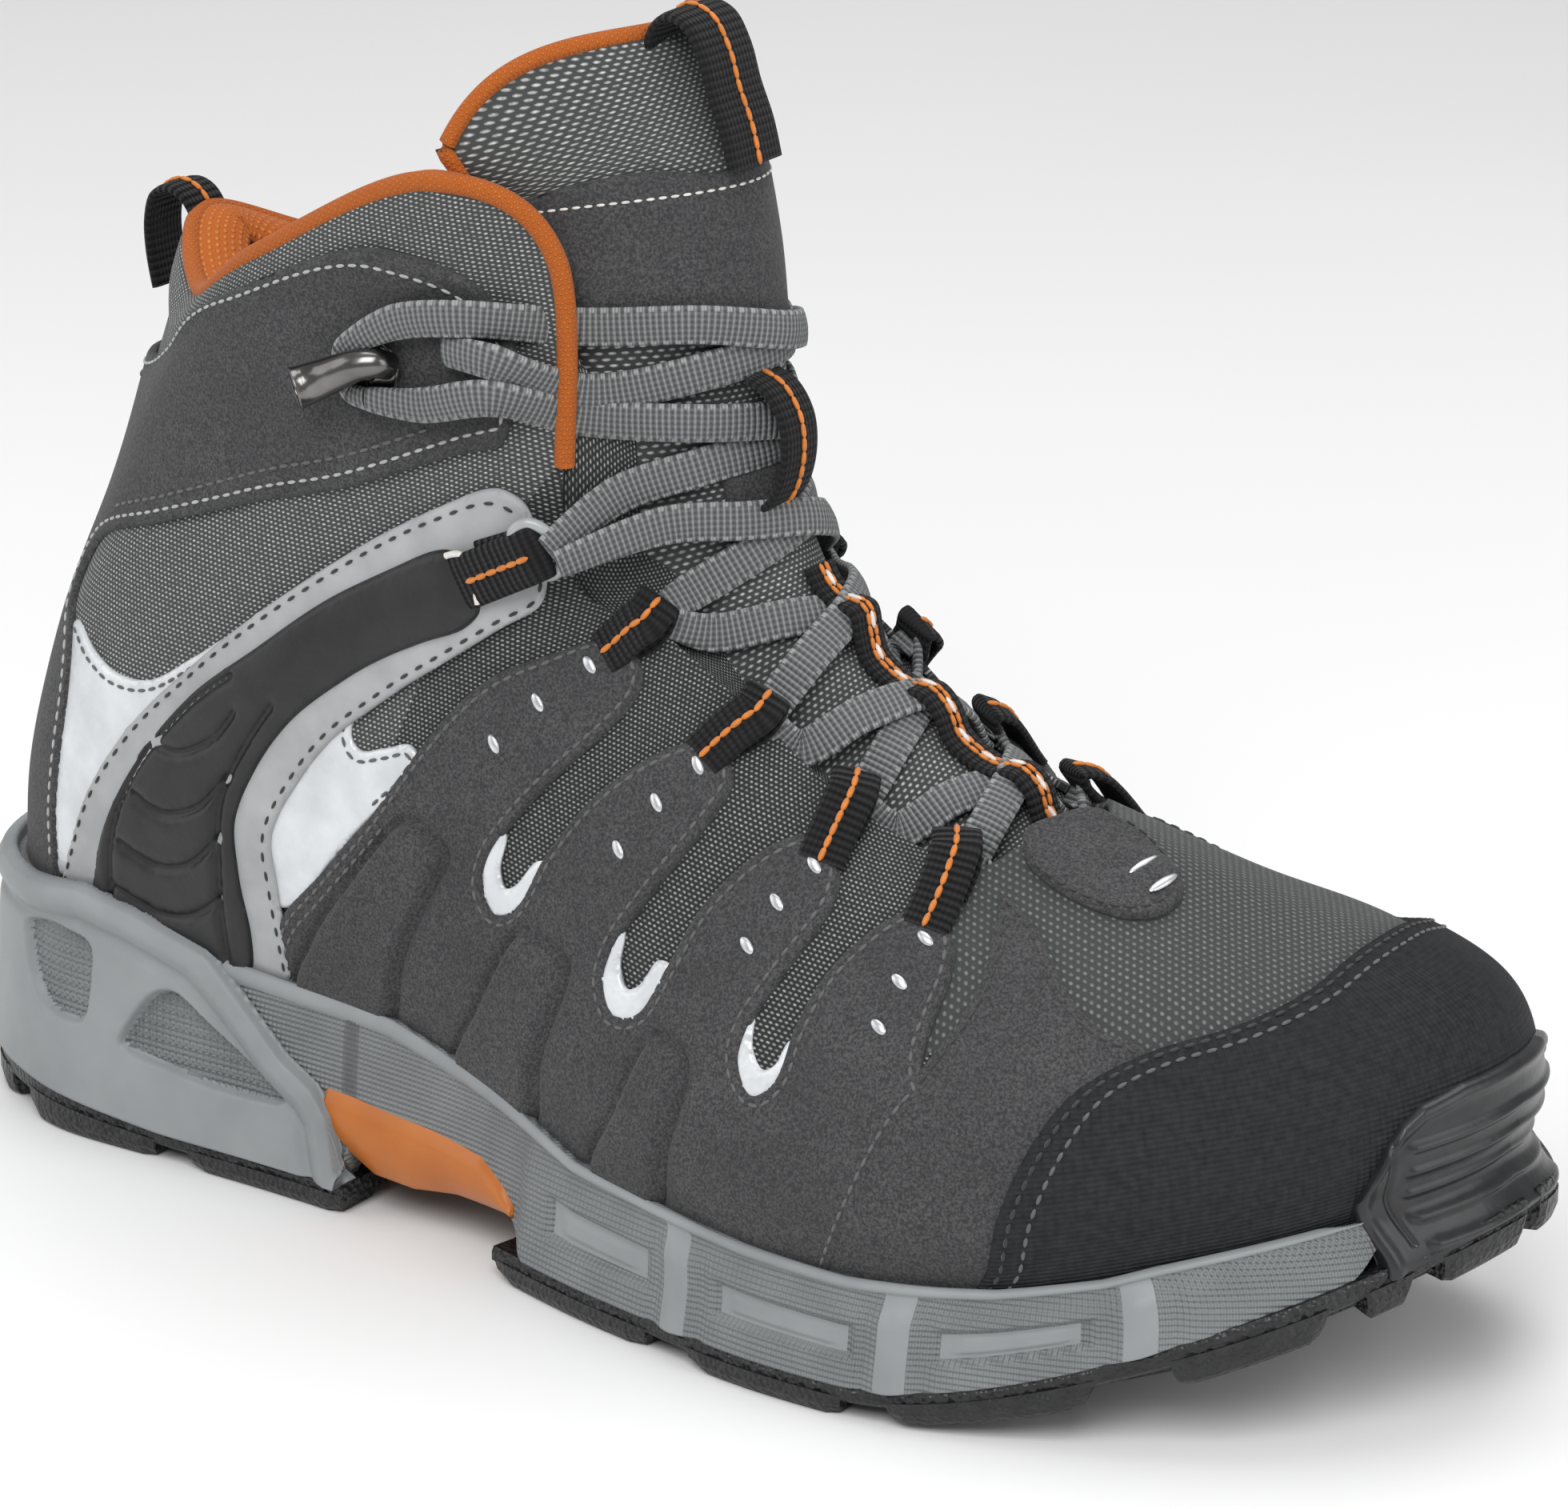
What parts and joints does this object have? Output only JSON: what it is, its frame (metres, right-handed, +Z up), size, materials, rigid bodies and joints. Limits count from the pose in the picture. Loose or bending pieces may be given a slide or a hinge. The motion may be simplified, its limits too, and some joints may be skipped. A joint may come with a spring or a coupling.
{
  "type": "hiking boot",
  "caption": "Mid-height lace-up hiking boot for the right foot with lugged rubber sole, mesh and suede upper, toe rand, heel strap and padded collar.",
  "frame": {"origin": "on the ground, under the centre of the heel seat, 40 mm forward of the back of the heel", "axes": "+X towards the toe, +Y to the medial side, -Y to the lateral side, +Z up"},
  "size_m": [0.2964, 0.1122, 0.2091],
  "materials": {
    "outsole_rubber": "pebbled black rubber",
    "midsole_foam": "matt grey moulded foam",
    "frame_plastic": "satin moulded plastic",
    "arch_plastic": "glossy orange plastic",
    "board": "fibre board",
    "footbed_foam": "felt-covered foam",
    "shank": "glass-filled nylon",
    "stiffener": "thermoplastic sheet",
    "lining": "orange knitted lining",
    "foam": "open-cell foam",
    "mesh_light": "grey woven mesh",
    "mesh_dark": "dark grey woven mesh",
    "rand_rubber": "black textured rand",
    "suede": "dark grey suede",
    "strap_plastic": "black moulded plastic",
    "trim": "light grey synthetic leather",
    "silver": "silver synthetic leather",
    "binding": "orange knitted binding",
    "webbing": "black ribbed webbing with an orange stitch line",
    "ring_plastic": "light grey plastic",
    "hook_metal": "dark nickel plate",
    "rivet_metal": "nickel plate",
    "lace": "flat woven polyester"
  },
  "bodies": {
    "boot": {"outsole_heel": "outsole_rubber", "outsole_ball": "outsole_rubber", "midsole_rear": "midsole_foam", "arch_shank": "arch_plastic", "heel_frame": "frame_plastic", "lasting_board_rear": "board", "footbed_rear": "footbed_foam", "shank_plate": "shank", "heel_counter": "stiffener", "lining_rear": "lining", "collar_padding": "foam", "quarter_mesh_lateral": "mesh_light", "quarter_mesh_medial": "mesh_light", "quarter_overlay_lateral": "suede", "quarter_overlay_medial": "suede", "ankle_overlay": "suede", "heel_strap_lateral": "strap_plastic", "heel_strap_medial": "strap_plastic", "strap_trim_lateral": "trim", "strap_trim_medial": "trim", "heel_patch_lateral": "silver", "heel_patch_medial": "silver", "collar_binding": "binding", "tongue_lower": "mesh_light", "tongue_lower_patch": "suede", "tongue_keeper": "webbing", "centre_webbing": "webbing", "lace_loops_lateral": "webbing", "lace_loops_medial": "webbing", "strap_loop_lateral": "webbing", "strap_loop_medial": "webbing", "lace_hook_lateral": "hook_metal", "lace_hook_medial": "hook_metal", "hook_rivets": "rivet_metal", "lace_lower": "lace", "lace_upper": "lace"},
    "toe": {"outsole_toe": "outsole_rubber", "midsole_toe": "midsole_foam", "lasting_board_toe": "board", "footbed_toe": "footbed_foam", "toe_puff": "stiffener", "toe_rand": "rand_rubber", "vamp_mesh": "mesh_dark", "vamp_overlay_lateral": "suede", "vamp_overlay_medial": "suede", "lining_toe": "lining", "vamp_tab": "suede"},
    "tongue_top": {"tongue_upper": "mesh_light", "tongue_patch": "suede"},
    "tongue_pull": {"tongue_loop": "webbing"},
    "heel_pull": {"heel_loop": "webbing"},
    "ring_lateral": {"lace_ring_lateral": "ring_plastic"},
    "ring_medial": {"lace_ring_medial": "ring_plastic"}
  },
  "joints": [
    {"name": "toe_flex", "type": "hinge", "parent": "boot", "child": "toe", "pos_m": [0.1635, 0, 0.014], "axis": [0, -1, 0], "range_deg": [0, 15], "deforming": ["vamp_mesh", "vamp_overlay_lateral", "vamp_overlay_medial", "lining_toe", "vamp_tab"]},
    {"name": "tongue_tilt", "type": "hinge", "parent": "boot", "child": "tongue_top", "pos_m": [0.1182, 0, 0.1575], "axis": [0, -1, 0], "range_deg": [-4, 18]},
    {"name": "tongue_loop_fold", "type": "hinge", "parent": "tongue_top", "child": "tongue_pull", "pos_m": [0.109, 0, 0.197], "axis": [0, -1, 0], "range_deg": [-12, 8]},
    {"name": "heel_loop_fold", "type": "hinge", "parent": "boot", "child": "heel_pull", "pos_m": [0.001, 0, 0.162], "axis": [0, -1, 0], "range_deg": [-2, 25]},
    {"name": "lateral_ring_swing", "type": "hinge", "parent": "boot", "child": "ring_lateral", "pos_m": [0.09384, -0.03262, 0.12393], "axis": [0, -1, 0], "range_deg": [-12, 12]},
    {"name": "medial_ring_swing", "type": "hinge", "parent": "boot", "child": "ring_medial", "pos_m": [0.09384, 0.03262, 0.12393], "axis": [0, -1, 0], "range_deg": [-12, 12]}
  ]
}
